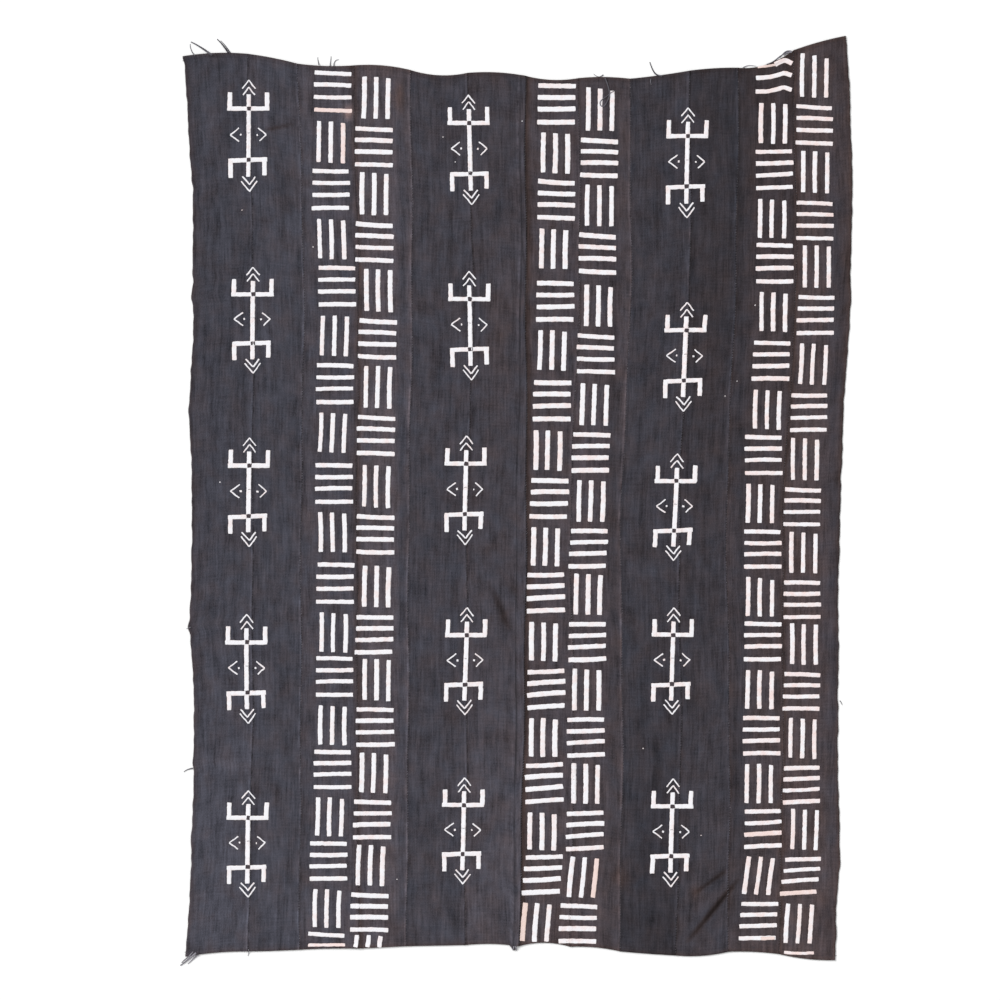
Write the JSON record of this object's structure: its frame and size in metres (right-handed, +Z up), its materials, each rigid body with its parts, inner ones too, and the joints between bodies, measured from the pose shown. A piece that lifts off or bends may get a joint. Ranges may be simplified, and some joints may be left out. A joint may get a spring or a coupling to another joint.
{
  "type": "mud cloth",
  "caption": "Flat rectangular cloth of narrow handwoven cotton strips sewn edge to edge, dyed dark with pale geometric marks.",
  "frame": {"origin": "middle of the cloth's bounding box, on the surface that it lies on", "axes": "+Y up the strips from the foot hem to the head hem, +X across the strips to the right, +Z up out of the marked face"},
  "size_m": [1.1504, 1.5942, 0.0065],
  "materials": {
    "mud_dyed_cotton": "matt handspun plain weave, faded black mud dye",
    "pale_marks": "matt off-white marks where the dye is taken out of the cloth",
    "sewing_cotton": "matt twisted cotton thread"
  },
  "bodies": {
    "root": {"strip_01": "mud_dyed_cotton", "strip_02": "mud_dyed_cotton", "strip_03": "mud_dyed_cotton", "strip_04": "mud_dyed_cotton", "strip_05": "mud_dyed_cotton", "strip_06": "mud_dyed_cotton", "strip_07": "mud_dyed_cotton", "strip_08": "mud_dyed_cotton", "strip_09": "mud_dyed_cotton", "strip_10": "mud_dyed_cotton", "strip_11": "mud_dyed_cotton", "strip_12": "mud_dyed_cotton"}
  },
  "joints": []
}
